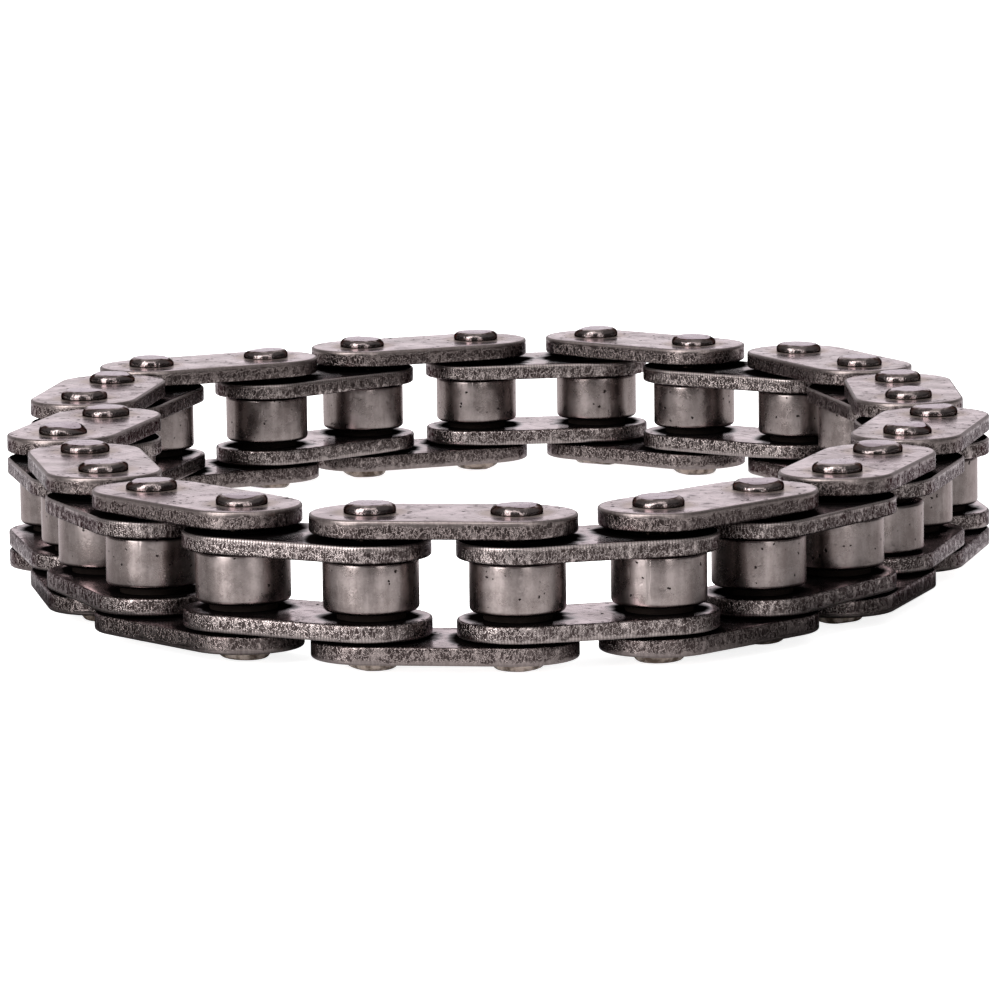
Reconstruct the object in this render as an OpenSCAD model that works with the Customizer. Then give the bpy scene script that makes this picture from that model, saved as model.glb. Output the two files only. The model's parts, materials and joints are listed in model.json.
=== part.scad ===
// Closed loop of straight-sided roller chain, lying on its side with the pins upright.
// Links are numbered round the loop from the front one: odd links are outer links, even ones inner.
// Pin k joins link k - 1 to link k, and carries roller k. Millimetres, z = 0 under the pin heads.

/* [Chain] */
// Distance between the centres of neighbouring pins
pitch = 9.525; // [8.5:0.025:12.7]
// Clear width between the two plates of an inner link
inner_width = 4; // [3:0.1:6]
// Outside diameter of a roller
roller_d = 6.25; // [5.8:0.05:7]
// Rounding of a roller's two rims
roller_round = 0.3; // [0.1:0.05:0.4]

/* [Plates] */
// Height of a plate across its two straight sides
plate_depth = 7.9; // [7:0.1:8.8]
// Thickness of an inner link's plates
inner_plate_t = 1.13; // [0.8:0.01:1.6]
// Thickness of an outer link's plates
outer_plate_t = 1.2; // [0.8:0.01:1.6]
// Worn bevel round both faces of a plate
plate_bevel = 0.12; // [0.05:0.01:0.3]

/* [Pins and bushes] */
// Diameter of a pin's shank
pin_d = 3.28; // [2.6:0.02:3.6]
// Wall of a bush
bush_wall = 0.55; // [0.4:0.05:0.7]
// Bevel at both ends of a bush's bore
bush_bevel = 0.12; // [0.05:0.01:0.25]
// Height of a pin's lower head, under the lower plate
head_h = 0.85; // [0.5:0.05:1.2]
// Height of a pin's riveted end, over the upper plate
rivet_h = 0.65; // [0.4:0.05:1.2]
// How far riveting spreads an end beyond the shank
rivet_spread = 0.06; // [0.03:0.01:0.2]
// Rounding of a riveted end's rim
rivet_round = 0.42; // [0.1:0.02:0.5]

/* [Fits] */
// Radial clearance of a pin in its bush
pin_clearance = 0.05; // [0.02:0.01:0.1]
// Radial clearance of a roller on its bush
roller_clearance = 0.08; // [0.03:0.01:0.15]
// Clearance of a roller's rims from the inner plates
rim_clearance = 0.27; // [0.05:0.01:0.35]
// Clearance between an inner plate and the outer plate next to it
side_clearance = 0.35; // [0.15:0.05:0.6]
// Hairline of a press fit: pin in outer plate, bush in inner plate
press_line = 0.01; // [0.005:0.005:0.02]

/* [Hidden] */
$fn = 64;
// Share of its side clearance by which an inner link has settled under its weight
settled = 0.35;
// Share of its play by which old oil holds a roller up under the upper plate, and by which it holds up
// a roller that has dropped, with the numbers of those
held = 0.9;
held_low = 0.1;
dropped_rollers = [6];
// Steps of a rounded rim
round_steps = 4;

// How the chain lies: the heading of each link in degrees, from the front link round the right side,
// and from its left neighbour round the left side. The last two links meet at the closing pin.
right_headings = [-7, 16, 45, 54, 70, 74, 75, 97, 91, 104, 116, 146];
left_headings = [332, 311, 293, 281, 283, 255, 283, 261, 255, 206, 220, 202];
link_count = len(right_headings) + len(left_headings) + 2;

// Radii
pin_r = pin_d / 2;
bore_r = pin_r + pin_clearance;
bush_r = bore_r + bush_wall;
roller_bore_r = bush_r + roller_clearance;
roller_r = roller_d / 2;
plate_r = plate_depth / 2;

// Lengths of a bush, and of the space for an inner link between two outer plates
bush_h = inner_width + 2 * inner_plate_t;
outer_gap = bush_h + 2 * side_clearance;

// Levels of an outer link, from its lower heads up
outer_low_z = head_h;
outer_high_z = outer_low_z + outer_plate_t + outer_gap;
pin_h = outer_high_z + outer_plate_t + rivet_h;

// Levels of an inner link, and of roller k between its plates
inner_low_z = outer_low_z + outer_plate_t + side_clearance * (1 - settled);
inner_high_z = inner_low_z + inner_plate_t + inner_width;
roller_h = inner_width - 2 * rim_clearance;
function has_dropped(k) = len(search(k, dropped_rollers)) > 0;
function roller_z(k) =
    inner_low_z + inner_plate_t + 2 * rim_clearance * (has_dropped(k) ? held_low : held);

// One pitch along a heading
function stride(heading) = pitch * [cos(heading), sin(heading)];

// The pin reached from the front link's left pin after n links, with way 1 forwards and -1 backwards
function walk(headings, way, n) =
    n == 0 ? [0, 0] : walk(headings, way, n - 1) + way * stride(headings[n - 1]);

// The outer one of the two points that lie one pitch from both a and b
function closing_pin(a, b) =
    let (half = (b - a) / 2)
    (a + b) / 2 + sqrt(pitch * pitch - half * half) * [half.y, -half.x] / norm(half);

right_pins = [for (n = [0 : len(right_headings)]) walk(right_headings, 1, n)];
left_pins = [for (n = [len(left_headings) : -1 : 1]) walk(left_headings, -1, n)];
laid_pins = [
    each right_pins,
    closing_pin(right_pins[len(right_pins) - 1], left_pins[0]),
    each left_pins
];
loop_x = [for (p = laid_pins) p.x];
loop_y = [for (p = laid_pins) p.y];
middle = [min(loop_x) + max(loop_x), min(loop_y) + max(loop_y)] / 2;

// Place of pin k, counted on past the last one to the first, and heading of link k
function pin_at(k) = laid_pins[(k - 1) % link_count] - middle;
function heading_of(k) =
    let (run = pin_at(k + 1) - pin_at(k))
    atan2(run.y, run.x);

// Points on a quarter circle about [x, z], from one angle to another
function rim(x, z, r, from, to) =
    [for (i = [0 : round_steps])
        let (angle = from + (to - from) * i / round_steps)
        [x + r * cos(angle), z + r * sin(angle)]];

// Names of the nodes. The front link and its right neighbour show their pieces one by one.
function number(k) = str(k < 10 ? "0" : "", k);
function is_outer(k) = k % 2 == 1;
function link_name(k) = str(is_outer(k) ? "outer_link_" : "inner_link_", number(k));
function roller_name(k) = str("roller_", number(k));
OUTER_PIECES = ["_lower_plate", "_upper_plate", "_left_pin", "_right_pin"];
INNER_PIECES = ["_lower_plate", "_upper_plate", "_left_bush", "_right_bush"];

// Puts a piece that starts at its own first pin and runs along +X where link k lies
module on_link(k) {
    translate(concat(pin_at(k), 0))
        rotate(heading_of(k))
            children();
}

// Upper right corner profile of a plate's edge: half the width, all the thickness, both rims bevelled
module plate_edge(thickness) {
    polygon([
        [0, 0],
        [plate_r - plate_bevel, 0],
        [plate_r, plate_bevel],
        [plate_r, thickness - plate_bevel],
        [plate_r - plate_bevel, thickness],
        [0, thickness]
    ]);
}

// Straight-sided plate from the first pin to the second: two turned ends, a bar between them, two holes
module plate(thickness, hole_r) {
    difference() {
        union() {
            rotate(90)
                rotate_extrude(angle = 180)
                    plate_edge(thickness);
            translate([pitch, 0, 0])
                rotate(-90)
                    rotate_extrude(angle = 180)
                        plate_edge(thickness);
            rotate([90, 0, 90])
                linear_extrude(pitch)
                    union() {
                        plate_edge(thickness);
                        mirror([1, 0])
                            plate_edge(thickness);
                    }
        }
        for (x = [0, pitch])
            translate([x, 0, -thickness])
                cylinder(r = hole_r, h = 3 * thickness);
    }
}

// Plate of an outer link, with holes that grip the pins
module outer_plate(level) {
    color("slategray")
        translate([0, 0, level])
            plate(outer_plate_t, pin_r + press_line);
}

// Plate of an inner link, with holes that grip the bushes
module inner_plate(level) {
    color("gray")
        translate([0, 0, level])
            plate(inner_plate_t, bush_r + press_line);
}

// Pin with a shank through both outer plates and an end spread over each of them
module pin() {
    spread_r = pin_r + rivet_spread;
    under_z = outer_low_z - press_line;
    over_z = pin_h - rivet_h + press_line;
    low_round = min(rivet_round, under_z - 2 * rivet_spread);
    high_round = min(rivet_round, pin_h - over_z - 2 * rivet_spread);
    color("dimgray")
        rotate_extrude()
            polygon([
                [0, 0],
                each rim(spread_r - low_round, low_round, low_round, -90, 0),
                [spread_r, under_z - rivet_spread],
                [pin_r, under_z],
                [pin_r, over_z],
                [spread_r, over_z + rivet_spread],
                each rim(spread_r - high_round, pin_h - high_round, high_round, 0, 90),
                [0, pin_h]
            ]);
}

// Bush through both inner plates, flush with their outer faces, its bore bevelled at both ends
module bush() {
    color("darkgray")
        translate([0, 0, inner_low_z])
            rotate_extrude()
                polygon([
                    [bore_r + bush_bevel, 0],
                    [bush_r, 0],
                    [bush_r, bush_h],
                    [bore_r + bush_bevel, bush_h],
                    [bore_r, bush_h - bush_bevel],
                    [bore_r, bush_bevel]
                ]);
}

// Roller k, which turns on a bush, with both rims rounded
module roller(k) {
    rim_x = roller_r - roller_round;
    color("silver")
        translate([0, 0, roller_z(k)])
            rotate_extrude()
                polygon([
                    [roller_bore_r, 0],
                    each rim(rim_x, roller_round, roller_round, -90, 0),
                    each rim(rim_x, roller_h - roller_round, roller_round, 0, 90),
                    [roller_bore_r, roller_h]
                ]);
}

// One piece of an outer link, in the order of OUTER_PIECES
module outer_piece(i) {
    if (i < 2)
        outer_plate([outer_low_z, outer_high_z][i]);
    else
        translate([pitch * (i - 2), 0, 0])
            pin();
}

// One piece of an inner link, in the order of INNER_PIECES
module inner_piece(i) {
    if (i < 2)
        inner_plate([inner_low_z, inner_high_z][i]);
    else
        translate([pitch * (i - 2), 0, 0])
            bush();
}

// A whole link: its four pieces, held together by their press fits
module link(k) {
    for (i = [0 : 3])
        if (is_outer(k))
            outer_piece(i);
        else
            inner_piece(i);
}

for (i = [0 : 3]) {
    on_link(1) outer_piece(i);
    on_link(2) inner_piece(i);
}
for (k = [3 : link_count])
    on_link(k) link(k);
for (k = [1 : link_count])
    on_link(k) roller(k);
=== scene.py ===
"""A closed loop of oiled steel roller chain lying on its side: plates, pins, bushes and rollers round the
CAD frame.

Sizes are in millimetres, as in the part's source, and turn to metres where a mesh is made.
"""
import json
import math

import bpy
import numpy as np
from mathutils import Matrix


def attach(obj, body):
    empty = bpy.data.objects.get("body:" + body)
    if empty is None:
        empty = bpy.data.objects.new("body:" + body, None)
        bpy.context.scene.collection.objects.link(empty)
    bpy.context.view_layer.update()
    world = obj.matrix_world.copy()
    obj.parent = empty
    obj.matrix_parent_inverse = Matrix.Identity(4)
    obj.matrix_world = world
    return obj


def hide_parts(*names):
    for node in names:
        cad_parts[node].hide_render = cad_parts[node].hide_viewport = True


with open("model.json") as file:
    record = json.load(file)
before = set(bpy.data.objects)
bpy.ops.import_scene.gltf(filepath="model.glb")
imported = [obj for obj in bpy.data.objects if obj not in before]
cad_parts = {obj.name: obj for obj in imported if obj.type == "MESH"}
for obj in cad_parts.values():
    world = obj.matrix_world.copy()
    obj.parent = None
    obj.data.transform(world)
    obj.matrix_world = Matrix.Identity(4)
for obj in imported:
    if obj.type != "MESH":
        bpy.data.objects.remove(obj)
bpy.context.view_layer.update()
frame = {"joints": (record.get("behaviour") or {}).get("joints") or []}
MM = 0.001

# Sizes of the chain
PITCH = 9.525
INNER_WIDTH = 4.0
PLATE_R = 3.95
PLATE_ROUND = 0.16
INNER_T = 1.13
OUTER_T = 1.2
HOLE_BREAK = 0.05
PIN_R = 1.64
HEAD_H = 0.85
RIVET_H = 0.65
HEAD_SPREAD = 0.06
HEAD_ROUND = 0.42
BORE_R = 1.69
BUSH_R = 2.24
BUSH_BREAK = 0.12
ROLLER_R = 3.125
ROLLER_BORE_R = 2.32
ROLLER_ROUND = 0.3
ROLLER_BREAK = 0.06
SIDE_CLEARANCE = 0.35
RIM_CLEARANCE = 0.27
PRESS_LINE = 0.01

# Share of its side clearance by which an inner link has settled, and shares of its play by which old oil
# holds up a roller, and holds up one that has dropped
SETTLED = 0.35
HELD = 0.9
HELD_LOW = 0.1
DROPPED_ROLLERS = [6]

# Levels of the pieces, from the lower heads up
BUSH_H = INNER_WIDTH + 2 * INNER_T
OUTER_LOW_Z = HEAD_H
OUTER_HIGH_Z = OUTER_LOW_Z + OUTER_T + BUSH_H + 2 * SIDE_CLEARANCE
PIN_H = OUTER_HIGH_Z + OUTER_T + RIVET_H
INNER_LOW_Z = OUTER_LOW_Z + OUTER_T + (1 - SETTLED) * SIDE_CLEARANCE
INNER_HIGH_Z = INNER_LOW_Z + INNER_T + INNER_WIDTH
ROLLER_H = INNER_WIDTH - 2 * RIM_CLEARANCE
HELD_Z = INNER_LOW_Z + INNER_T + HELD * 2 * RIM_CLEARANCE
DROPPED_Z = INNER_LOW_Z + INNER_T + HELD_LOW * 2 * RIM_CLEARANCE

# Length of a roller's profile from its bore round the outside and back to it: a bevel and a flat ring at each
# end, two rounded rims, and the wall
ROLLER_RING = ROLLER_R - ROLLER_ROUND - ROLLER_BORE_R - ROLLER_BREAK
ROLLER_WALL = ROLLER_H - 2 * ROLLER_ROUND
ROLLER_RUN = 2 * (ROLLER_BREAK * math.sqrt(2) + ROLLER_RING) + math.pi * ROLLER_ROUND + ROLLER_WALL

# How riveting shapes a pin's end: where its two sloping planes start, how steep they are, the end's greatest
# tilt, and how far its dome sinks at the rim
FACET_START = (0.5, 1.2)
FACET_SLOPE = (0.05, 0.25)
END_TILT = 0.04
END_DOME = 0.03

# Steps of the turned pieces round their axes, and of a pin's end from its middle to its rim
PIN_SIDES = 56
BUSH_SIDES = 48
ROLLER_SIDES = 72
END_STEPS = 7
# Edges that bend by more degrees than this stay sharp
SHARP_BEND = 40

LINK_COUNT = 26
# Places of the pins at rest, from the axes of the rollers that turn about them
axes = {joint["name"]: joint["pos_m"] for joint in frame["joints"]}
pins = np.array([axes[f"roller_{k:02d}_spin"][:2] for k in range(1, LINK_COUNT + 1)]) / MM
random = np.random.default_rng(26)


# Meshes

def grid_quads(rows, columns, start=0, closed=False):
    """Quads of a grid of points stored row by row from index start: each joins a point to the next along its
    row and to the two above them. A closed grid also joins each row's last point to its first."""
    i, j = np.meshgrid(np.arange(columns if closed else columns - 1), np.arange(rows - 1))
    low, high = j * columns, (j + 1) * columns
    right = (i + 1) % columns
    quads = np.stack([low + i, low + right, high + right, high + i], axis=-1)
    return quads.reshape(-1, 4) + start


def make_piece(name, points, quads, spread, marks, materials):
    """One closed mesh: points within a micrometre of each other become one, and a quad that loses a corner at
    a pole becomes a triangle. spread is each grid point's place on the unrolled surface in millimetres, and
    marks gives each quad's material."""
    _, first, merged = np.unique(np.round(points, 3), axis=0, return_index=True, return_inverse=True)
    corners = merged.reshape(-1)[quads]
    faces, face_spread, face_marks = [], [], []
    whole = np.ones(len(quads), bool)
    for shift in range(4):
        lost = corners[:, shift] == corners[:, (shift + 1) % 4]
        whole &= ~lost
        faces.append(np.delete(corners[lost], shift, axis=1))
        face_spread.append(spread[np.delete(quads[lost], shift, axis=1)].reshape(-1, 2))
        face_marks.append(marks[lost])
    faces.append(corners[whole])
    face_spread.append(spread[quads[whole]].reshape(-1, 2))
    face_marks.append(marks[whole])
    mesh = bpy.data.meshes.new(name)
    mesh.from_pydata(points[first] * MM, [], [row for part in faces for row in part.tolist()])
    mesh.uv_layers.new(name="spread").data.foreach_set("uv", np.concatenate(face_spread).ravel())
    mesh.polygons.foreach_set("material_index", np.concatenate(face_marks).astype(np.int32))
    mesh.polygons.foreach_set("use_smooth", np.ones(len(mesh.polygons), bool))
    for material in materials:
        mesh.materials.append(material)
    mesh.validate()
    mesh.set_sharp_from_angle(angle=math.radians(SHARP_BEND))
    piece = bpy.data.objects.new(name, mesh)
    bpy.context.scene.collection.objects.link(piece)
    return piece


def quarter(x, z, radius, start, end, steps=5):
    """Points on a circle about (x, z) from one angle to another, in degrees, as a (steps, 2) profile."""
    angle = np.radians(np.linspace(start, end, steps))
    return np.stack([x + radius * np.cos(angle), z + radius * np.sin(angle)], axis=1)


def half_plate(thickness, hole_r, lower, grease_and_shade):
    """Half of a straight-sided plate, about its second pin. Its rim is an edge profile carried along a spine:
    the straight side out to the pin, a half turn about the pin, and the straight side back. Its faces and
    hole are rulings between the rim's inner outline, closed along the plate's middle, and the hole's circle
    at the same bearing. The other half is this one turned by 180 degrees about the plate's middle. The rim's
    spread is the run along it and the height from the torn side, which is the upper one of a lower plate.
    The spread of a face is the distance from the pin's axis and how far from it grease and painted shade
    reach there. grease_and_shade gives that reach for the upper and the lower face."""
    side, turn, cut, rings = 9, 41, 13, 6
    along = np.linspace(PITCH / 2, PITCH, side)
    bearing = np.radians(np.linspace(-90, 90, turn))
    spine_x = np.concatenate([along[:-1], np.full(turn, PITCH), along[::-1][1:]])
    heading = np.concatenate([np.full(side - 1, bearing[0]), bearing, np.full(side - 1, bearing[-1])])
    normal = np.stack([np.cos(heading), np.sin(heading)], axis=1)

    flat = np.stack([np.full(3, PLATE_R), np.linspace(PLATE_ROUND, thickness - PLATE_ROUND, 5)[1:-1]], axis=1)
    edge = np.concatenate([
        quarter(PLATE_R - PLATE_ROUND, PLATE_ROUND, PLATE_ROUND, -90, 0),
        flat,
        quarter(PLATE_R - PLATE_ROUND, thickness - PLATE_ROUND, PLATE_ROUND, 0, 90)])
    rim = np.empty((len(edge), len(spine_x), 3))
    rim[..., 0] = spine_x + edge[:, :1] * normal[:, 0]
    rim[..., 1] = edge[:, :1] * normal[:, 1]
    rim[..., 2] = edge[:, 1:]
    strides = np.linalg.norm(np.diff(rim[len(edge) // 2, :, :2], axis=0), axis=1)
    run = np.concatenate([[0], np.cumsum(strides)])
    from_torn = thickness - edge[:, 1:] if lower else edge[:, 1:]
    rim_spread = np.stack(np.broadcast_arrays(run, from_torn), axis=-1)

    outline = rim[-1, :, :2]
    across = np.linspace(outline[-1, 1], outline[0, 1], cut)[1:-1]
    middle = np.stack([np.full(cut - 2, PITCH / 2), across], axis=1)
    border = np.concatenate([outline, middle]) - [PITCH, 0]
    toward = border / np.linalg.norm(border, axis=1, keepdims=True)
    share = np.linspace(0, 1, rings)
    lid = border + share[:, None, None] * (toward * (hole_r + HOLE_BREAK) - border)
    bore = np.broadcast_to(toward * hole_r, (2,) + toward.shape)
    level = np.concatenate([np.full(rings, thickness), [thickness - HOLE_BREAK, HOLE_BREAK], np.zeros(rings)])
    ribbon = np.empty((len(level), len(border), 3))
    ribbon[..., :2] = np.concatenate([lid, bore, lid[::-1]]) + [PITCH, 0]
    ribbon[..., 2] = level[:, None]
    reach = np.repeat(grease_and_shade, len(level) // 2)[:, None]
    from_axis = np.linalg.norm(ribbon[..., :2] - [PITCH, 0], axis=-1)
    face_spread = np.stack(np.broadcast_arrays(from_axis, reach), axis=-1)

    points = np.concatenate([rim.reshape(-1, 3), ribbon.reshape(-1, 3)])
    spread = np.concatenate([rim_spread.reshape(-1, 2), face_spread.reshape(-1, 2)])
    edge_quads = grid_quads(len(edge), len(spine_x))
    face_quads = grid_quads(len(level), len(border), start=rim[..., 0].size, closed=True)
    marks = np.concatenate([np.ones(len(edge_quads)), np.zeros(len(face_quads))])
    return points, np.concatenate([edge_quads, face_quads]), spread, marks


def on_link(points, k):
    """Turns and moves points from a link's own frame, along +X from its first pin, to where link k lies."""
    start, end = pins[k - 1], pins[k % LINK_COUNT]
    along = (end - start) / np.linalg.norm(end - start)
    turned = points.copy()
    turned[:, 0] = start[0] + points[:, 0] * along[0] - points[:, 1] * along[1]
    turned[:, 1] = start[1] + points[:, 0] * along[1] + points[:, 1] * along[0]
    return turned


def plate(name, k, level, thickness, hole_r, lower, grease_and_shade, materials):
    """A whole plate: the half about the second pin, and the same half turned about the plate's middle."""
    points, quads, spread, marks = half_plate(thickness, hole_r, lower, grease_and_shade)
    other = points * [-1, -1, 1] + [PITCH, 0, 0]
    both = np.concatenate([points, other]) + [0, 0, level]
    return make_piece(name, on_link(both, k), np.concatenate([quads, quads + len(points)]),
                      np.concatenate([spread, spread]), np.concatenate([marks, marks]), materials)


def revolve(profile, around):
    """A profile of (radius, height) points turned about the vertical axis, as a closed grid. Its spread is
    the arc at each point's radius against the length along the profile."""
    turn = np.linspace(0, 2 * np.pi, around, endpoint=False)
    points = np.empty((len(profile), around, 3))
    points[..., 0] = profile[:, :1] * np.cos(turn)
    points[..., 1] = profile[:, :1] * np.sin(turn)
    points[..., 2] = profile[:, 1:]
    run = np.concatenate([[0], np.cumsum(np.linalg.norm(np.diff(profile, axis=0), axis=1))])
    spread = np.stack(np.broadcast_arrays(profile[:, :1] * turn, run[:, None]), axis=-1)
    return points.reshape(-1, 3), grid_quads(len(profile), around, closed=True), spread.reshape(-1, 2)


def hammered(points, top, depth_from, sign):
    """Flattens an end as riveting does: the end sinks by a shallow dome, by a tilt to one side, and by two
    planes that each start at a line across the end and slope away from it. The sinking fades out from the
    end's face, at the height top, to depth_from. sign is 1 for an upper end and -1 for a lower one."""
    share = np.clip((points[:, 2] - depth_from) / (top - depth_from), 0, 1)
    bearing = random.uniform(0, 2 * np.pi, 3)
    start = np.append(random.uniform(*FACET_START, 2), -PIN_R - HEAD_SPREAD)
    slope = np.append(random.uniform(*FACET_SLOPE, 2), random.uniform(0, END_TILT))
    reach = points[:, 0, None] * np.cos(bearing) + points[:, 1, None] * np.sin(bearing) - start
    sunk = (np.clip(reach, 0, None) * slope).sum(axis=1)
    sunk += END_DOME * (points[:, 0] ** 2 + points[:, 1] ** 2) / PIN_R ** 2
    points[:, 2] -= sign * share * sunk
    return points


def pin(name, place, materials):
    """A pin: the turned profile of a shank with a barrel-shaped head at each end. The heads' flat faces are
    hammered and take the first material, and the sides take the second one."""
    spread_r = PIN_R + HEAD_SPREAD
    rim_x = spread_r - HEAD_ROUND
    face = np.linspace(0, rim_x, END_STEPS + 1)[:-1]
    profile = np.concatenate([
        np.stack([face, np.zeros(END_STEPS)], axis=1),
        quarter(rim_x, HEAD_ROUND, HEAD_ROUND, -90, 0, 9),
        [[spread_r, OUTER_LOW_Z - HEAD_SPREAD - PRESS_LINE], [PIN_R, OUTER_LOW_Z - PRESS_LINE]],
        [[PIN_R, PIN_H - RIVET_H + PRESS_LINE], [spread_r, PIN_H - RIVET_H + HEAD_SPREAD + PRESS_LINE]],
        quarter(rim_x, PIN_H - HEAD_ROUND, HEAD_ROUND, 0, 90, 9),
        np.stack([face[::-1], np.full(END_STEPS, PIN_H)], axis=1)])
    points, quads, spread = revolve(profile, PIN_SIDES)
    points = hammered(points, PIN_H, PIN_H - RIVET_H, 1)
    points = hammered(points, 0, HEAD_H, -1)
    row = np.repeat(np.arange(len(profile) - 1), PIN_SIDES)
    sides = (row >= END_STEPS) & (row < len(profile) - 1 - END_STEPS)
    return make_piece(name, points + [*place, 0], quads, spread, sides, materials)


def bush(name, place, materials):
    """A bush: the turned profile of a tube, with its bore bevelled at both ends."""
    profile = np.array([
        [BORE_R, BUSH_BREAK], [BORE_R + BUSH_BREAK, 0], [BUSH_R, 0], [BUSH_R, BUSH_H],
        [BORE_R + BUSH_BREAK, BUSH_H], [BORE_R, BUSH_H - BUSH_BREAK], [BORE_R, BUSH_BREAK]])
    points, quads, spread = revolve(profile, BUSH_SIDES)
    return make_piece(name, points + [*place, INNER_LOW_Z], quads, spread, np.zeros(len(quads)), materials)


def roller(name, place, level, materials):
    """A roller: the turned profile of a tube, with both rims rounded and its bore bevelled at both ends."""
    rim_x = ROLLER_R - ROLLER_ROUND
    wall = np.linspace(ROLLER_ROUND, ROLLER_H - ROLLER_ROUND, 6)[1:-1]
    profile = np.concatenate([
        [[ROLLER_BORE_R, ROLLER_BREAK], [ROLLER_BORE_R + ROLLER_BREAK, 0]],
        quarter(rim_x, ROLLER_ROUND, ROLLER_ROUND, -90, 0, 7),
        np.stack([np.full(len(wall), ROLLER_R), wall], axis=1),
        quarter(rim_x, ROLLER_H - ROLLER_ROUND, ROLLER_ROUND, 0, 90, 7),
        [[ROLLER_BORE_R + ROLLER_BREAK, ROLLER_H], [ROLLER_BORE_R, ROLLER_H - ROLLER_BREAK]],
        [[ROLLER_BORE_R, ROLLER_BREAK]]])
    points, quads, spread = revolve(profile, ROLLER_SIDES)
    return make_piece(name, points + [*place, level], quads, spread, np.zeros(len(quads)), materials)


# Materials

def linear(code):
    """An sRGB hex colour as linear red, green, blue and alpha."""
    parts = np.array([int(code[i:i + 2], 16) for i in (1, 3, 5)]) / 255
    return *np.where(parts <= 0.04045, parts / 12.92, ((parts + 0.055) / 1.055) ** 2.4).tolist(), 1


def add_node(tree, kind, inputs=None, **settings):
    """Adds one node: its settings by name, and each input either linked from a socket or set to a value."""
    made = tree.nodes.new(kind)
    for name, value in settings.items():
        setattr(made, name, value)
    for key, value in (inputs or {}).items():
        if isinstance(value, bpy.types.NodeSocket):
            tree.links.new(value, made.inputs[key])
        else:
            made.inputs[key].default_value = value
    return made


def new_material(name):
    """An empty node material, with its tree and its Object coordinates in millimetres."""
    material = bpy.data.materials.new(name)
    material.use_nodes = True
    tree = material.node_tree
    tree.nodes.clear()
    place = add_node(tree, "ShaderNodeTexCoord").outputs["Object"]
    millimetres = add_node(tree, "ShaderNodeMapping", {"Vector": place, "Scale": (1 / MM,) * 3}).outputs[0]
    return material, tree, millimetres


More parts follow.
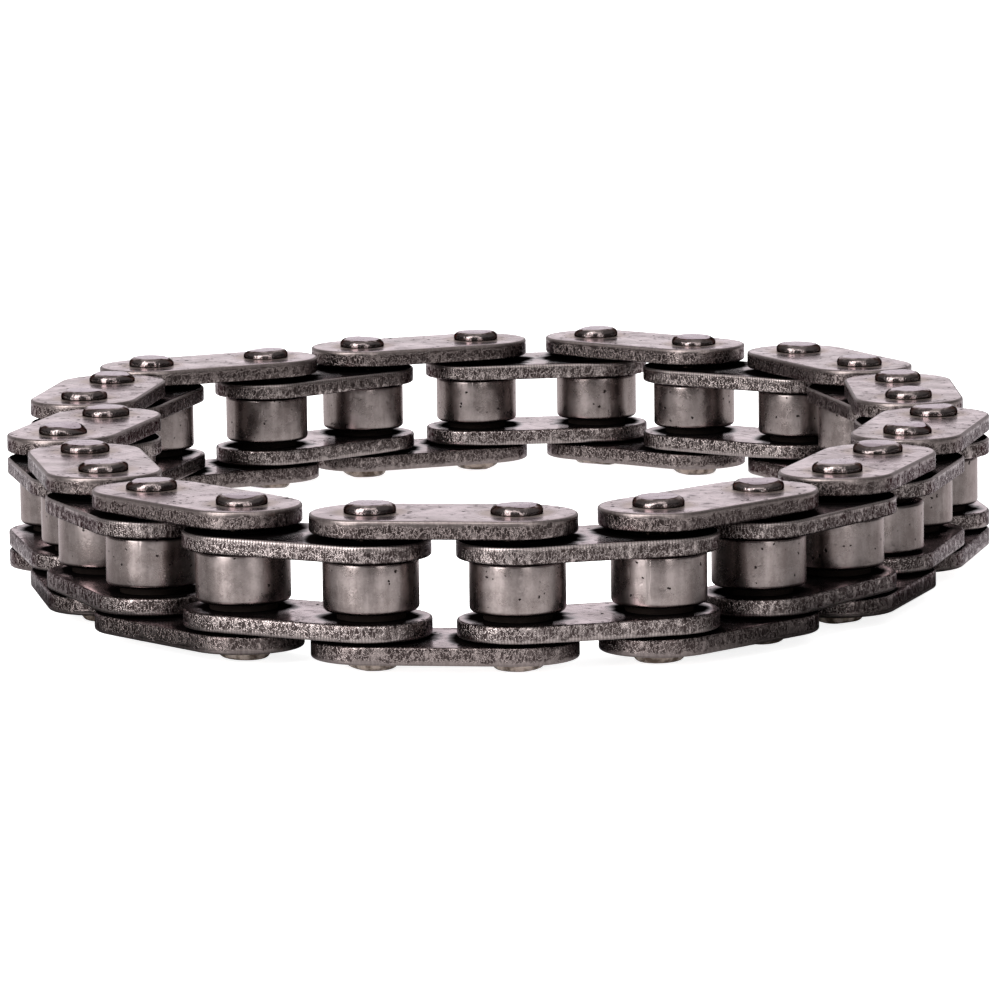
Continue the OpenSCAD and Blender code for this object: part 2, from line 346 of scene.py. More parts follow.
def blanked_edge(name, toothed, greys):
    """Carbon steel plate, blanked in a press: a smooth, rolled band along one side of the cut edge, which
    bears the die's fine tooth marks on a toothed one, and below it the torn part, dark flecks in a pale net,
    under old oil. greys are those of the darkest and the palest shear streaks and of the net."""
    material, tree, mm = new_material(name)
    unrolled = add_node(tree, "ShaderNodeUVMap", uv_map="spread").outputs[0]
    unrolled = add_node(tree, "ShaderNodeSeparateXYZ", {0: unrolled}).outputs
    # the torn part starts about 0.3 mm from the rolled side, along a wavy line
    wave = add_node(tree, "ShaderNodeTexNoise", {"Vector": mm, "Scale": 1.2, "Detail": 3}).outputs[0]
    line = add_node(tree, "ShaderNodeMath", {
        0: wave, 1: 0.9, 2: unrolled[1]}, operation="MULTIPLY_ADD").outputs[0]
    torn = add_node(tree, "ShaderNodeMapRange", {
        "Value": line, "From Min": 1.48, "From Max": 1.24}, interpolation_type="SMOOTHSTEP").outputs[0]
    # flecks 0.12 to 0.3 mm across, with thin veins between them, in ragged upright shapes
    ragged = add_node(tree, "ShaderNodeTexNoise", {
        "Vector": mm, "Scale": 4, "Detail": 3, "Roughness": 0.7}).outputs["Color"]
    ragged = add_node(tree, "ShaderNodeVectorMath", {
        0: ragged, 1: (0.45, 0.45, 0.45), 2: mm}, operation="MULTIPLY_ADD").outputs[0]
    upright = add_node(tree, "ShaderNodeMapping", {"Vector": ragged, "Scale": (1, 1, 0.4)}).outputs[0]
    net = add_node(tree, "ShaderNodeTexVoronoi", {
        "Vector": upright, "Scale": 5.0}, feature="DISTANCE_TO_EDGE").outputs["Distance"]
    cell = add_node(tree, "ShaderNodeMapRange", {
        "Value": net, "From Min": 0.01, "From Max": 0.085}, interpolation_type="SMOOTHSTEP").outputs[0]
    cloud = add_node(tree, "ShaderNodeTexNoise", {
        "Vector": upright, "Scale": 2.2, "Detail": 4, "Roughness": 0.65}).outputs[0]
    worn = add_node(tree, "ShaderNodeMapRange", {
        "Value": cloud, "From Min": 0.7, "From Max": 0.5}, interpolation_type="SMOOTHSTEP").outputs[0]
    fleck = add_node(tree, "ShaderNodeMath", {0: cell, 1: worn}, operation="MULTIPLY").outputs[0]
    dark = add_node(tree, "ShaderNodeMath", {0: fleck, 1: torn}, operation="MULTIPLY").outputs[0]
    # shear streaks about 0.12 mm wide, drawn no finer so that they show
    long = add_node(tree, "ShaderNodeMapping", {"Vector": mm, "Scale": (1, 1, 0.15)}).outputs[0]
    shear = add_node(tree, "ShaderNodeTexNoise", {"Vector": long, "Scale": 7, "Detail": 3}).outputs[0]
    streak = add_node(tree, "ShaderNodeMapRange", {
        "Value": shear, "From Min": 0.3, "From Max": 0.7}).outputs[0]
    grey = add_node(tree, "ShaderNodeMix", {
        0: streak, 6: linear(greys[0]), 7: linear(greys[1])}, data_type="RGBA").outputs[2]
    grey = add_node(tree, "ShaderNodeMix", {
        0: torn, 6: grey, 7: linear(greys[2])}, data_type="RGBA").outputs[2]
    relief = add_node(tree, "ShaderNodeMath", {0: streak, 1: 0.35}, operation="MULTIPLY").outputs[0]
    if toothed:
        # tooth marks 0.21 mm apart, in the smooth band
        phase = add_node(tree, "ShaderNodeMath", {
            0: unrolled[0], 1: 2 * math.pi / 0.21}, operation="MULTIPLY").outputs[0]
        tooth = add_node(tree, "ShaderNodeMath", {0: phase}, operation="SINE").outputs[0]
        scored = add_node(tree, "ShaderNodeMapRange", {
            "Value": unrolled[1], "From Min": 0.5, "From Max": 0.7, "To Max": 0.5},
            interpolation_type="SMOOTHSTEP").outputs[0]
        scored = add_node(tree, "ShaderNodeMath", {0: tooth, 1: scored}, operation="MULTIPLY").outputs[0]
        grey = add_node(tree, "ShaderNodeMix", {
            0: scored, 6: grey, 7: linear("#3B3331")}, data_type="RGBA", clamp_factor=True).outputs[2]
        relief = add_node(tree, "ShaderNodeMath", {0: relief, 1: scored}, operation="SUBTRACT").outputs[0]

    colour = add_node(tree, "ShaderNodeMix", {
        0: dark, 6: grey, 7: linear("#393130")}, data_type="RGBA").outputs[2]
    rough = add_node(tree, "ShaderNodeMapRange", {"Value": dark, "To Min": 0.18, "To Max": 0.28}).outputs[0]
    # the rolled side's lip is duller
    lip = add_node(tree, "ShaderNodeMapRange", {
        "Value": unrolled[1], "From Min": 0.9, "From Max": 1.05, "To Max": 0.22},
        interpolation_type="SMOOTHSTEP").outputs[0]
    rough = add_node(tree, "ShaderNodeMath", {0: rough, 1: lip}, operation="ADD").outputs[0]
    relief = add_node(tree, "ShaderNodeMath", {0: relief, 1: dark}, operation="SUBTRACT").outputs[0]
    bump = add_node(tree, "ShaderNodeBump", {
        "Height": relief, "Strength": 0.6, "Distance": 0.014 * MM}).outputs[0]
    tint = add_node(tree, "ShaderNodeMix", {
        0: dark, 6: (0.8, 0.76, 0.79, 1), 7: (0.38, 0.34, 0.36, 1)}, data_type="RGBA").outputs[2]
    shader = add_node(tree, "ShaderNodeBsdfPrincipled", {
        "Base Color": colour, "Metallic": 1.0, "Roughness": rough, "Specular Tint": tint, "Normal": bump})
    add_node(tree, "ShaderNodeOutputMaterial", {0: shader.outputs[0]})
    return material


def pits(tree, mm, per_mm, largest):
    """Ragged pits scattered through space, per_mm of their cells to a millimetre and up to largest
    millimetres in radius: 1 in a pit and 0 outside. About half of the cells have none, and most of the pits
    are small."""
    ragged = add_node(tree, "ShaderNodeTexNoise", {"Vector": mm, "Scale": 4, "Detail": 2}).outputs["Color"]
    ragged = add_node(tree, "ShaderNodeVectorMath", {
        0: ragged, 1: (0.25, 0.25, 0.25), 2: mm}, operation="MULTIPLY_ADD").outputs[0]
    cells = add_node(tree, "ShaderNodeTexVoronoi", {"Vector": ragged, "Scale": per_mm}).outputs
    chance = add_node(tree, "ShaderNodeSeparateColor", {0: cells["Color"]}).outputs[0]
    share = add_node(tree, "ShaderNodeMapRange", {
        "Value": chance, "From Min": 0.5, "From Max": 1.0}).outputs[0]
    share = add_node(tree, "ShaderNodeMath", {0: share, 1: 1.8}, operation="POWER").outputs[0]
    radius = add_node(tree, "ShaderNodeMath", {
        0: share, 1: largest * per_mm}, operation="MULTIPLY").outputs[0]
    inside = add_node(tree, "ShaderNodeMath", {
        0: radius, 1: cells["Distance"]}, operation="SUBTRACT").outputs[0]
    return add_node(tree, "ShaderNodeMapRange", {
        "Value": inside, "From Min": -0.02, "From Max": 0.04}, interpolation_type="SMOOTHSTEP").outputs[0]


def tumbled_face():
    """Carbon steel plate, tumbled after blanking: smooth faces that mirror their surroundings, with scattered
    pits, fine scratches, rubbed marks and a thin brown film of oil. Black grease and painted shade stay round
    the pins where two plates, or a plate and a roller, face."""
    material, tree, mm = new_material("carbon_steel_tumbled_face")
    broad = add_node(tree, "ShaderNodeTexNoise", {"Vector": mm, "Scale": 0.5, "Detail": 4}).outputs[0]
    patch = add_node(tree, "ShaderNodeMapRange", {
        "Value": broad, "From Min": 0.4, "From Max": 0.66}).outputs[0]
    # pits up to 0.3 mm across, in patches
    pit = pits(tree, mm, 2.6, 0.17)
    spoiled = add_node(tree, "ShaderNodeMapRange", {
        "Value": broad, "From Min": 0.42, "From Max": 0.54}, interpolation_type="SMOOTHSTEP").outputs[0]
    pit = add_node(tree, "ShaderNodeMath", {0: pit, 1: spoiled}, operation="MULTIPLY").outputs[0]
    # tumbling scratches two ways, about 0.08 mm wide
    one = add_node(tree, "ShaderNodeMapping", {
        "Vector": mm, "Rotation": (0, 0, 0.6), "Scale": (2, 0.14, 0.14)}, vector_type="TEXTURE").outputs[0]
    other = add_node(tree, "ShaderNodeMapping", {
        "Vector": mm, "Rotation": (0, 0, -0.9), "Scale": (2.5, 0.16, 0.16)}, vector_type="TEXTURE").outputs[0]
    first = add_node(tree, "ShaderNodeTexNoise", {"Vector": one, "Scale": 1, "Detail": 1}).outputs[0]
    second = add_node(tree, "ShaderNodeTexNoise", {"Vector": other, "Scale": 1, "Detail": 1}).outputs[0]
    scratch = add_node(tree, "ShaderNodeMath", {0: first, 1: second}, operation="MAXIMUM").outputs[0]
    scratch = add_node(tree, "ShaderNodeMapRange", {
        "Value": scratch, "From Min": 0.58, "From Max": 0.72}).outputs[0]
    # rubbed marks of 0.3 to 1 mm
    rubs = add_node(tree, "ShaderNodeTexNoise", {
        "Vector": mm, "Scale": 1.1, "Detail": 6, "Roughness": 0.66}).outputs[0]
    rubbed = add_node(tree, "ShaderNodeMapRange", {
        "Value": rubs, "From Min": 0.54, "From Max": 0.68, "To Max": 0.75},
        interpolation_type="SMOOTHSTEP").outputs[0]
    # grease and painted shade where two plates, or a plate and a roller, face, with a wavy rim
    unrolled = add_node(tree, "ShaderNodeUVMap", uv_map="spread").outputs[0]
    unrolled = add_node(tree, "ShaderNodeSeparateXYZ", {0: unrolled}).outputs
    within = add_node(tree, "ShaderNodeMath", {
        0: unrolled[1], 1: unrolled[0]}, operation="SUBTRACT").outputs[0]
    within = add_node(tree, "ShaderNodeMath", {
        0: broad, 1: -1.6, 2: within}, operation="MULTIPLY_ADD").outputs[0]
    grease_and_shade = add_node(tree, "ShaderNodeMapRange", {
        "Value": within, "From Min": -1.35, "From Max": -0.5}, interpolation_type="SMOOTHSTEP").outputs[0]
    stain_and_shade = add_node(tree, "ShaderNodeMath", {0: pit, 1: grease_and_shade}, operation="MAXIMUM").outputs[0]
    # a dull ring of old oil at the foot of each pin
    ring = add_node(tree, "ShaderNodeMapRange", {
        "Value": unrolled[0], "From Min": 2.9, "From Max": 1.9, "To Max": 0.6},
        interpolation_type="SMOOTHSTEP").outputs[0]
    # a brown film of oil in blotches of some 3 mm
    blotch = add_node(tree, "ShaderNodeTexNoise", {"Vector": mm, "Scale": 0.3, "Detail": 5}).outputs[0]
    film = add_node(tree, "ShaderNodeMapRange", {
        "Value": blotch, "From Min": 0.46, "From Max": 0.66, "To Max": 0.6},
        interpolation_type="SMOOTHSTEP").outputs[0]

    steel = add_node(tree, "ShaderNodeMix", {
        0: patch, 6: linear("#BDB0B2"), 7: linear("#8E8283")}, data_type="RGBA").outputs[2]
    steel = add_node(tree, "ShaderNodeMix", {
        0: film, 6: steel, 7: linear("#6B5E57")}, data_type="RGBA").outputs[2]
    scored = add_node(tree, "ShaderNodeMath", {0: scratch, 1: 0.8}, operation="MULTIPLY").outputs[0]
    steel = add_node(tree, "ShaderNodeMix", {
        0: scored, 6: steel, 7: linear("#5F5556")}, data_type="RGBA").outputs[2]
    steel = add_node(tree, "ShaderNodeMix", {
        0: ring, 6: steel, 7: linear("#AC9F92")}, data_type="RGBA").outputs[2]
    steel = add_node(tree, "ShaderNodeMix", {
        0: rubbed, 6: steel, 7: linear("#63585A")}, data_type="RGBA").outputs[2]
    # a thin stain or painted shade blackens the metal, and a thick one hides it
    thin = add_node(tree, "ShaderNodeMapRange", {"Value": stain_and_shade, "From Max": 0.5}).outputs[0]
    colour = add_node(tree, "ShaderNodeMix", {
        0: thin, 6: steel, 7: linear("#080606")}, data_type="RGBA").outputs[2]
    bare = add_node(tree, "ShaderNodeMapRange", {
        "Value": stain_and_shade, "From Min": 0.4, "To Min": 1.0, "To Max": 0.0}).outputs[0]
    # the rubbed marks also show where the face is seen at a low angle
    tint = add_node(tree, "ShaderNodeMix", {
        0: rubbed, 6: (1, 0.91, 0.95, 1), 7: (0.45, 0.4, 0.42, 1)}, data_type="RGBA").outputs[2]
    rough = add_node(tree, "ShaderNodeMapRange", {
        "Value": broad, "From Min": 0.3, "From Max": 0.7, "To Min": 0.14, "To Max": 0.26}).outputs[0]
    rough = add_node(tree, "ShaderNodeMath", {
        0: ring, 1: 0.3, 2: rough}, operation="MULTIPLY_ADD").outputs[0]
    relief = add_node(tree, "ShaderNodeMath", {
        0: scratch, 1: 0.2, 2: pit}, operation="MULTIPLY_ADD").outputs[0]
    bump = add_node(tree, "ShaderNodeBump", {
        "Height": relief, "Strength": 0.5, "Distance": 0.015 * MM}, invert=True).outputs[0]
    shader = add_node(tree, "ShaderNodeBsdfPrincipled", {
        "Base Color": colour, "Metallic": bare, "Roughness": rough, "Specular Tint": tint,
        "Specular IOR Level": 0.0, "Normal": bump})
    add_node(tree, "ShaderNodeOutputMaterial", {0: shader.outputs[0]})
    return material


def ground_roller():
    """Case-hardened steel tube, ground and run in on a sprocket: a satin wall with a fine grain, faint
    upright streaks, small pits and dents, and both rims blackened by old oil and by painted shade."""
    material, tree, mm = new_material("hardened_steel_ground_roller")
    long = add_node(tree, "ShaderNodeMapping", {"Vector": mm, "Scale": (1, 1, 0.15)}).outputs[0]
    # upright streaks about 0.3 mm wide
    streak = add_node(tree, "ShaderNodeTexNoise", {"Vector": long, "Scale": 2.5, "Detail": 3}).outputs[0]
    grain = add_node(tree, "ShaderNodeTexNoise", {
        "Vector": mm, "Scale": 7, "Detail": 3, "Roughness": 0.7}).outputs[0]
    broad = add_node(tree, "ShaderNodeTexNoise", {
        "Vector": mm, "Scale": 0.7, "Detail": 4, "Roughness": 0.6}).outputs[0]
    tone = add_node(tree, "ShaderNodeMath", {
        0: streak, 1: 0.5, 2: broad}, operation="MULTIPLY_ADD").outputs[0]
    tone = add_node(tree, "ShaderNodeMath", {
        0: grain, 1: 0.4, 2: tone}, operation="MULTIPLY_ADD").outputs[0]
    tone = add_node(tree, "ShaderNodeMapRange", {
        "Value": tone, "From Min": 0.75, "From Max": 1.15}).outputs[0]
    # pits up to 0.2 mm across, and shallow dents some 0.4 mm across
    pit = pits(tree, mm, 2.4, 0.12)
    knocks = add_node(tree, "ShaderNodeTexNoise", {"Vector": mm, "Scale": 1.3, "Detail": 4}).outputs[0]
    dent = add_node(tree, "ShaderNodeMapRange", {
        "Value": knocks, "From Min": 0.58, "From Max": 0.72}, interpolation_type="SMOOTHSTEP").outputs[0]
    # a few upright scores where a tooth has scraped the wall
    score = add_node(tree, "ShaderNodeMapRange", {
        "Value": streak, "From Min": 0.62, "From Max": 0.72}, interpolation_type="SMOOTHSTEP").outputs[0]
    dent = add_node(tree, "ShaderNodeMath", {0: dent, 1: score}, operation="ADD").outputs[0]

    steel = add_node(tree, "ShaderNodeMix", {
        0: tone, 6: linear("#6E6462"), 7: linear("#908684")}, data_type="RGBA").outputs[2]
    # painted shade and old oil blacken both rims, where they lie under the plates:
    # the run along the roller's profile gives the distance from its half height
    run = add_node(tree, "ShaderNodeUVMap", uv_map="spread").outputs[0]
    run = add_node(tree, "ShaderNodeSeparateXYZ", {0: run}).outputs[1]
    out = add_node(tree, "ShaderNodeMath", {0: run, 1: ROLLER_RUN / 2}, operation="SUBTRACT").outputs[0]
    out = add_node(tree, "ShaderNodeMath", {0: out}, operation="ABSOLUTE").outputs[0]
    out = add_node(tree, "ShaderNodeMath", {0: broad, 1: 0.3, 2: out}, operation="MULTIPLY_ADD").outputs[0]
    oil_and_shade = add_node(tree, "ShaderNodeMapRange", {
        "Value": out, "From Min": ROLLER_H / 2 - 0.2, "From Max": ROLLER_H / 2 + 0.15, "To Max": 0.85},
        interpolation_type="SMOOTHSTEP").outputs[0]
    dark = add_node(tree, "ShaderNodeMath", {0: pit, 1: oil_and_shade}, operation="MAXIMUM").outputs[0]
    colour = add_node(tree, "ShaderNodeMix", {
        0: dark, 6: steel, 7: linear("#211B1A")}, data_type="RGBA").outputs[2]
    rough = add_node(tree, "ShaderNodeMapRange", {
        "Value": broad, "From Min": 0.3, "From Max": 0.7, "To Min": 0.22, "To Max": 0.34}).outputs[0]
    relief = add_node(tree, "ShaderNodeMath", {
        0: grain, 1: 0.25, 2: pit}, operation="MULTIPLY_ADD").outputs[0]
    relief = add_node(tree, "ShaderNodeMath", {
        0: dent, 1: 0.6, 2: relief}, operation="MULTIPLY_ADD").outputs[0]
    bump = add_node(tree, "ShaderNodeBump", {
        "Height": relief, "Strength": 0.6, "Distance": 0.02 * MM}, invert=True).outputs[0]
    shader = add_node(tree, "ShaderNodeBsdfPrincipled", {
        "Base Color": colour, "Metallic": 1.0, "Roughness": rough, "Specular Tint": (0.85, 0.79, 0.8, 1),
        "Normal": bump})
    add_node(tree, "ShaderNodeOutputMaterial", {0: shader.outputs[0]})
    return material


def hammered_end():
    """Hardened steel wire, riveted cold: its flattened end is pale, worn bright steel with shallow hammer
    marks."""
    material, tree, mm = new_material("hardened_steel_hammered_end")
    cloud = add_node(tree, "ShaderNodeTexNoise", {"Vector": mm, "Scale": 1.6, "Detail": 4}).outputs[0]
    # hammer marks about 0.6 mm across, and pits of 0.15 mm
    marks = add_node(tree, "ShaderNodeTexNoise", {"Vector": mm, "Scale": 1.1, "Detail": 2}).outputs[0]
    spots = add_node(tree, "ShaderNodeTexNoise", {"Vector": mm, "Scale": 3.2, "Detail": 3}).outputs[0]
    pit = add_node(tree, "ShaderNodeMapRange", {
        "Value": spots, "From Min": 0.62, "From Max": 0.68}, interpolation_type="SMOOTHSTEP").outputs[0]
    steel = add_node(tree, "ShaderNodeMix", {
        0: cloud, 6: linear("#867C80"), 7: linear("#B4A8AE")}, data_type="RGBA").outputs[2]
    colour = add_node(tree, "ShaderNodeMix", {
        0: pit, 6: steel, 7: linear("#2A2220")}, data_type="RGBA").outputs[2]
    rough = add_node(tree, "ShaderNodeMapRange", {
        "Value": cloud, "From Min": 0.3, "From Max": 0.7, "To Min": 0.15, "To Max": 0.3}).outputs[0]
    bump = add_node(tree, "ShaderNodeBump", {
        "Height": marks, "Strength": 0.5, "Distance": 0.12 * MM}).outputs[0]
    shader = add_node(tree, "ShaderNodeBsdfPrincipled", {
        "Base Color": colour, "Metallic": 1.0, "Roughness": rough, "Specular Tint": (1, 0.91, 0.97, 1),
        "Normal": bump})
    add_node(tree, "ShaderNodeOutputMaterial", {0: shader.outputs[0]})
    return material


def oiled_shank():
    """Hardened steel wire, drawn and ground: dark, glossy sides, darker towards the plates, and painted
    near black between them, as shade, with old oil. The upper head's rim is worn pale, and the lower head is
    painted pale in patches, a painted reflection of the white floor, with some dust."""
    material, tree, mm = new_material("hardened_steel_oiled_shank")
    height = add_node(tree, "ShaderNodeSeparateXYZ", {0: mm}).outputs[2]
    # distance from the middle of the pin's length, with a wavy rim, tells how near a head is to its plate
    out = add_node(tree, "ShaderNodeMath", {0: height, 1: PIN_H / 2}, operation="SUBTRACT").outputs[0]
    out = add_node(tree, "ShaderNodeMath", {0: out}, operation="ABSOLUTE").outputs[0]
    cloud = add_node(tree, "ShaderNodeTexNoise", {"Vector": mm, "Scale": 1.6, "Detail": 4}).outputs[0]
    wavy = add_node(tree, "ShaderNodeMath", {0: cloud, 1: 0.6, 2: out}, operation="MULTIPLY_ADD").outputs[0]
    far_from_plate = add_node(tree, "ShaderNodeMapRange", {
        "Value": wavy, "From Min": 4.9, "From Max": 5.3}, interpolation_type="SMOOTHSTEP").outputs[0]
    # painted shade: between the plates the shank is painted near black, as shade in the gaps, and for old oil
    inside = add_node(tree, "ShaderNodeMath", {
        0: out, 1: PIN_H / 2 - RIVET_H - 0.1}, operation="LESS_THAN").outputs[0]
    # the heads' sides are darker towards the plates
    steel = add_node(tree, "ShaderNodeMix", {
        0: far_from_plate, 6: linear("#2B2625"), 7: linear("#685F5E")}, data_type="RGBA").outputs[2]
    # painted reflection: the lower heads are painted pale, in patches, for the white floor that they mirror,
    # and dust sticks to them
    rubbed = add_node(tree, "ShaderNodeMath", {0: height, 1: HEAD_H}, operation="LESS_THAN").outputs[0]
    patchy = add_node(tree, "ShaderNodeMapRange", {
        "Value": cloud, "From Min": 0.4, "From Max": 0.6}).outputs[0]
    painted_pale = add_node(tree, "ShaderNodeMix", {
        0: patchy, 6: linear("#BFB0A6"), 7: linear("#63564D")}, data_type="RGBA").outputs[2]
    steel = add_node(tree, "ShaderNodeMix", {0: rubbed, 6: steel, 7: painted_pale}, data_type="RGBA").outputs[2]
    metal = add_node(tree, "ShaderNodeMapRange", {
        "Value": rubbed, "To Min": 1.0, "To Max": 0.25}).outputs[0]
    # the rim of the upper end is worn as pale as its face, in a ragged line
    ragged = add_node(tree, "ShaderNodeMath", {
        0: cloud, 1: 0.7, 2: height}, operation="MULTIPLY_ADD").outputs[0]
    worn = add_node(tree, "ShaderNodeMapRange", {
        "Value": ragged, "From Min": PIN_H + 0.18, "From Max": PIN_H + 0.34},
        interpolation_type="SMOOTHSTEP").outputs[0]
    steel = add_node(tree, "ShaderNodeMix", {
        0: worn, 6: steel, 7: linear("#8B807D")}, data_type="RGBA").outputs[2]
    # painted shade between the plates
    colour = add_node(tree, "ShaderNodeMix", {
        0: inside, 6: steel, 7: linear("#120E0C")}, data_type="RGBA").outputs[2]
    # painted shade: a dark tint at low angles turns the heads' flanks nearly black; the worn rim keeps a pale
    # tint
    tint = add_node(tree, "ShaderNodeMix", {
        0: worn, 6: (0.14, 0.11, 0.1, 1), 7: (1, 0.91, 0.97, 1)}, data_type="RGBA").outputs[2]
    # dents about 0.4 mm across
    dent = add_node(tree, "ShaderNodeTexNoise", {"Vector": mm, "Scale": 1.9, "Detail": 3}).outputs[0]
    bump = add_node(tree, "ShaderNodeBump", {
        "Height": dent, "Strength": 0.7, "Distance": 0.12 * MM}).outputs[0]
    shader = add_node(tree, "ShaderNodeBsdfPrincipled", {
        "Base Color": colour, "Metallic": metal, "Roughness": 0.2, "Specular Tint": tint, "Normal": bump})
    add_node(tree, "ShaderNodeOutputMaterial", {0: shader.outputs[0]})
    return material


def rolled_bush():
    """Steel strip rolled into a tube: painted nearly black and without gloss, as shade in the gaps round it,
    and for the thick, dirty oil on it.
    """
    material, tree, mm = new_material("rolled_steel_oily_bush")
    cloud = add_node(tree, "ShaderNodeTexNoise", {"Vector": mm, "Scale": 1.2, "Detail": 3}).outputs[0]
    # painted shade: nearly black colours for the shaded bush
    colour = add_node(tree, "ShaderNodeMix", {
        0: cloud, 6: linear("#0D0A09"), 7: linear("#221C1A")}, data_type="RGBA").outputs[2]
    shader = add_node(tree, "ShaderNodeBsdfPrincipled", {
        "Base Color": colour, "Roughness": 0.4, "Specular IOR Level": 0.0})
    add_node(tree, "ShaderNodeOutputMaterial", {0: shader.outputs[0]})
    return material


# Chain

# Greys of the two kinds of plate's edges: darkest and palest shear streaks, and the net round the flecks
OUTER_GREYS = ("#6A605E", "#827876", "#8B807E")
INNER_GREYS = ("#807674", "#9C9290", "#A59A98")
face_finish = tumbled_face()
plate_finishes = {
    "outer": [face_finish, blanked_edge("carbon_steel_blanked_edge", False, OUTER_GREYS)],
    "inner": [face_finish, blanked_edge("carbon_steel_toothed_blanked_edge", True, INNER_GREYS)]}
# How far from a pin's axis grease and painted shade reach on the upper and the lower face of each kind of
# plate
GREASE_AND_SHADE_REACH = {
    ("outer", "lower_plate"): (4.3, 0), ("outer", "upper_plate"): (0, 4.3),
    ("inner", "lower_plate"): (3.2, 4.3), ("inner", "upper_plate"): (4.3, 3.2)}
pin_finish = [hammered_end(), oiled_shank()]
bush_finish, roller_finish = [rolled_bush()], [ground_roller()]


def fit(piece, body, node):
    """Puts a piece on the body that it rides on, and hides the solid that it stands for."""
    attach(piece, body)
    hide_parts(node)


for k in range(1, LINK_COUNT + 1):
    outer = k % 2 == 1
    kind = "outer" if outer else "inner"
    body = f"{kind}_link_{k:02d}"
    # the first two links show their pieces as nodes of their own
    single = k <= 2
    levels = (OUTER_LOW_Z, OUTER_HIGH_Z) if outer else (INNER_LOW_Z, INNER_HIGH_Z)
    hole_r = (PIN_R if outer else BUSH_R) + PRESS_LINE
    for part, level in zip(("lower_plate", "upper_plate"), levels):
        piece = plate(f"link_{k:02d}.{part}", k, level, OUTER_T if outer else INNER_T, hole_r,
                      part == "lower_plate", GREASE_AND_SHADE_REACH[kind, part], plate_finishes[kind])
        fit(piece, body, f"{body}_{part}" if single else body)
    for side, place in (("left", pins[k - 1]), ("right", pins[k % LINK_COUNT])):
        part = f"{side}_pin" if outer else f"{side}_bush"
        make, finish = (pin, pin_finish) if outer else (bush, bush_finish)
        piece = make(f"link_{k:02d}.{part}", place, finish)
        fit(piece, body, f"{body}_{part}" if single else body)
    level = DROPPED_Z if k in DROPPED_ROLLERS else HELD_Z
    piece = roller(f"chain_roller_{k:02d}", pins[k - 1], level, roller_finish)
    fit(piece, f"roller_{k:02d}", f"roller_{k:02d}")


# Floor, light and camera

# The floor's radius, its sides and its drop under the chain, and how far from the middle it turns plain white
FLOOR_R = 1500
FLOOR_SIDES = 96
FLOOR_DROP = 0.02
FLOOR_NEAR = 90
FLOOR_FAR = 220


def studio_floor():
    """White paper: it shows the chain's soft shadow close by, and further off it is plain white to the eye.
    In the metal it shows a painted reflection: it is painted dark grey inside the loop, and a painted glow
    makes it paler in front of the chain, beside it and behind it."""
    material, tree, mm = new_material("white_paper_floor")
    path = add_node(tree, "ShaderNodeLightPath").outputs
    seen = add_node(tree, "ShaderNodeMath", {
        0: path["Is Camera Ray"], 1: path["Is Transmission Ray"]}, operation="MAXIMUM").outputs[0]
    away = add_node(tree, "ShaderNodeVectorMath", {0: mm}, operation="LENGTH").outputs["Value"]
    far = add_node(tree, "ShaderNodeMapRange", {
        "Value": away, "From Min": FLOOR_NEAR, "From Max": FLOOR_FAR},
        interpolation_type="SMOOTHSTEP").outputs[0]
    plain = add_node(tree, "ShaderNodeMapRange", {"Value": far, "To Min": 0.84, "To Max": 1.0}).outputs[0]
    plain = add_node(tree, "ShaderNodeMath", {0: plain, 1: seen}, operation="MULTIPLY").outputs[0]
    # painted glow, seen only in the metal, in front of the chain: palest 64 to 68 mm from the middle, and
    # paler at the left than at the right
    across, depth, _ = add_node(tree, "ShaderNodeSeparateXYZ", {0: mm}).outputs
    edge = add_node(tree, "ShaderNodeMapRange", {"Value": depth, "From Min": -42, "From Max": -50}).outputs[0]
    near = add_node(tree, "ShaderNodeMapRange", {
        "Value": depth, "From Min": -50, "From Max": -64, "To Min": 1.0, "To Max": 1.9}).outputs[0]
    front = add_node(tree, "ShaderNodeMapRange", {
        "Value": depth, "From Min": -68, "From Max": -79, "To Min": 1.0, "To Max": 0.3}).outputs[0]
    front = add_node(tree, "ShaderNodeMath", {0: near, 1: front}, operation="MULTIPLY").outputs[0]
    right = add_node(tree, "ShaderNodeMapRange", {
        "Value": across, "From Min": 24, "From Max": 62, "To Min": 1.0, "To Max": 0.65}).outputs[0]
    front = add_node(tree, "ShaderNodeMath", {0: front, 1: right}, operation="MULTIPLY").outputs[0]
    # painted glow, seen only in the metal, behind the chain and beside it
    back = add_node(tree, "ShaderNodeMapRange", {
        "Value": depth, "From Min": -14, "From Max": -4, "To Min": 0.0, "To Max": 1.2}).outputs[0]
    painted_pale = add_node(tree, "ShaderNodeMix", {0: edge, 2: back, 3: front}).outputs[0]
    side = add_node(tree, "ShaderNodeMath", {0: across}, operation="ABSOLUTE").outputs[0]
    beside = add_node(tree, "ShaderNodeMapRange", {
        "Value": side, "From Min": 33, "From Max": 46, "To Max": 0.8}).outputs[0]
    painted_pale = add_node(tree, "ShaderNodeMath", {0: painted_pale, 1: beside}, operation="MAXIMUM").outputs[0]
    painted_glow = add_node(tree, "ShaderNodeMath", {
        0: painted_pale, 1: path["Is Glossy Ray"], 2: plain}, operation="MULTIPLY_ADD").outputs[0]
    # painted shade: in the metal the paper is painted dark grey
    colour = add_node(tree, "ShaderNodeMix", {
        0: path["Is Glossy Ray"], 6: linear("#F4F3F2"), 7: linear("#3C3B3B")}, data_type="RGBA").outputs[2]
    paper = add_node(tree, "ShaderNodeBsdfDiffuse", {"Color": colour})
    light = add_node(tree, "ShaderNodeEmission", {"Color": (1, 1, 1, 1), "Strength": painted_glow})
    both = add_node(tree, "ShaderNodeAddShader", {0: paper.outputs[0], 1: light.outputs[0]})
    add_node(tree, "ShaderNodeOutputMaterial", {0: both.outputs[0]})
    return material


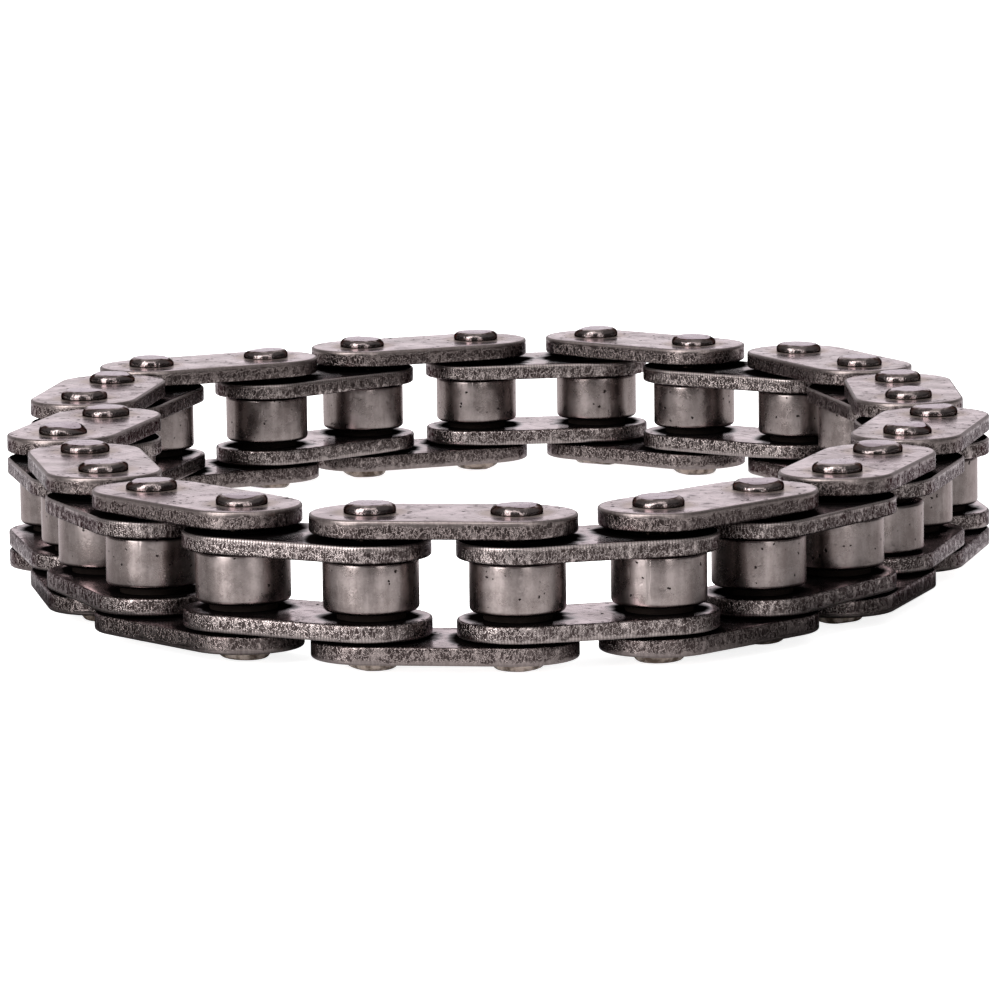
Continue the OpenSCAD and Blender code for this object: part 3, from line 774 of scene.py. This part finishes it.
turn = np.linspace(0, 2 * np.pi, FLOOR_SIDES, endpoint=False)
floor_level = np.full(FLOOR_SIDES, -FLOOR_DROP)
floor_rim = np.stack([FLOOR_R * np.cos(turn), FLOOR_R * np.sin(turn), floor_level], axis=1)
floor_mesh = bpy.data.meshes.new("floor")
floor_mesh.from_pydata(floor_rim * MM, [], [list(range(FLOOR_SIDES))])
floor_mesh.materials.append(studio_floor())
floor = bpy.data.objects.new("floor", floor_mesh)
bpy.context.scene.collection.objects.link(floor)

# A dim room with a white backdrop behind the chain, a white strip of ceiling over it, and walls that turn
# from dark at the chain's height to grey higher up. To the camera it is white.
world = bpy.data.worlds.new("studio")
world.use_nodes = True
tree = world.node_tree
tree.nodes.clear()
way = add_node(tree, "ShaderNodeTexCoord").outputs["Generated"]
way = add_node(tree, "ShaderNodeSeparateXYZ", {0: way}).outputs
behind = add_node(tree, "ShaderNodeMapRange", {
    "Value": way[1], "From Min": 0.35, "From Max": 0.88, "To Min": 0.04, "To Max": 1.0},
    interpolation_type="SMOOTHSTEP").outputs[0]
above = add_node(tree, "ShaderNodeMapRange", {
    "Value": way[2], "From Min": 0.4, "From Max": 0.8}, interpolation_type="SMOOTHSTEP").outputs[0]
beside = add_node(tree, "ShaderNodeMath", {0: way[0]}, operation="ABSOLUTE").outputs[0]
strip = add_node(tree, "ShaderNodeMapRange", {
    "Value": beside, "From Min": 0.5, "From Max": 0.2, "To Min": 0.3, "To Max": 1.0},
    interpolation_type="SMOOTHSTEP").outputs[0]
above = add_node(tree, "ShaderNodeMath", {0: above, 1: strip}, operation="MULTIPLY").outputs[0]
room = add_node(tree, "ShaderNodeMath", {0: behind, 1: above}, operation="MAXIMUM").outputs[0]
walls = add_node(tree, "ShaderNodeMapRange", {
    "Value": way[2], "From Min": 0.18, "From Max": 0.5, "To Min": 0.04, "To Max": 0.38}).outputs[0]
room = add_node(tree, "ShaderNodeMath", {0: room, 1: walls}, operation="MAXIMUM").outputs[0]
camera_ray = add_node(tree, "ShaderNodeLightPath").outputs["Is Camera Ray"]
level = add_node(tree, "ShaderNodeMath", {0: room, 1: camera_ray}, operation="MAXIMUM").outputs[0]
sky = add_node(tree, "ShaderNodeBackground", {"Color": (1, 1, 1, 1), "Strength": level})
add_node(tree, "ShaderNodeOutputWorld", {0: sky.outputs[0]})
bpy.context.scene.world = world


def softbox(name, place, size, watts):
    """A rectangular softbox aimed at the middle of the chain, and not seen by the camera itself."""
    lamp = bpy.data.lights.new(name, "AREA")
    lamp.shape = "RECTANGLE"
    lamp.size, lamp.size_y = size[0] * MM, size[1] * MM
    lamp.energy = watts
    holder = bpy.data.objects.new(name, lamp)
    holder.location = np.array(place) * MM
    holder.rotation_euler = (-holder.location).to_track_quat("-Z", "Y").to_euler()
    holder.visible_camera = False
    bpy.context.scene.collection.objects.link(holder)


softbox("softbox_left", (-440, -470, 330), (330, 740), 8.2)
softbox("softbox_right", (250, -600, 200), (150, 440), 1.2)
softbox("softbox_above", (-60, -300, 520), (500, 260), 1.2)

# The camera: 405 mm from the front pins' heads, 8.5 degrees above the horizon, with a long lens
CAMERA_AIM = np.array([-0.0909, -44.8701, PIN_H])
CAMERA_DISTANCE = 405.333
CAMERA_RISE = 0.14867446
CAMERA_ROLL = -0.01236874
CAMERA_LENS = 226.797
forward = np.array([0, math.cos(CAMERA_RISE), -math.sin(CAMERA_RISE)])
level_right = np.array([1, 0, 0])
level_up = np.array([0, math.sin(CAMERA_RISE), math.cos(CAMERA_RISE)])
right = math.cos(CAMERA_ROLL) * level_right + math.sin(CAMERA_ROLL) * level_up
up = math.cos(CAMERA_ROLL) * level_up - math.sin(CAMERA_ROLL) * level_right
lens = bpy.data.cameras.new("camera")
lens.lens = CAMERA_LENS
lens.clip_start, lens.clip_end = 0.01, 10
camera = bpy.data.objects.new("camera", lens)
stand = np.eye(4)
stand[:3, 0], stand[:3, 1], stand[:3, 2] = right, up, -forward
stand[:3, 3] = (CAMERA_AIM - CAMERA_DISTANCE * forward) * MM
camera.matrix_world = stand.T
bpy.context.scene.collection.objects.link(camera)
bpy.context.scene.camera = camera
bpy.context.scene.view_settings.view_transform = "Standard"
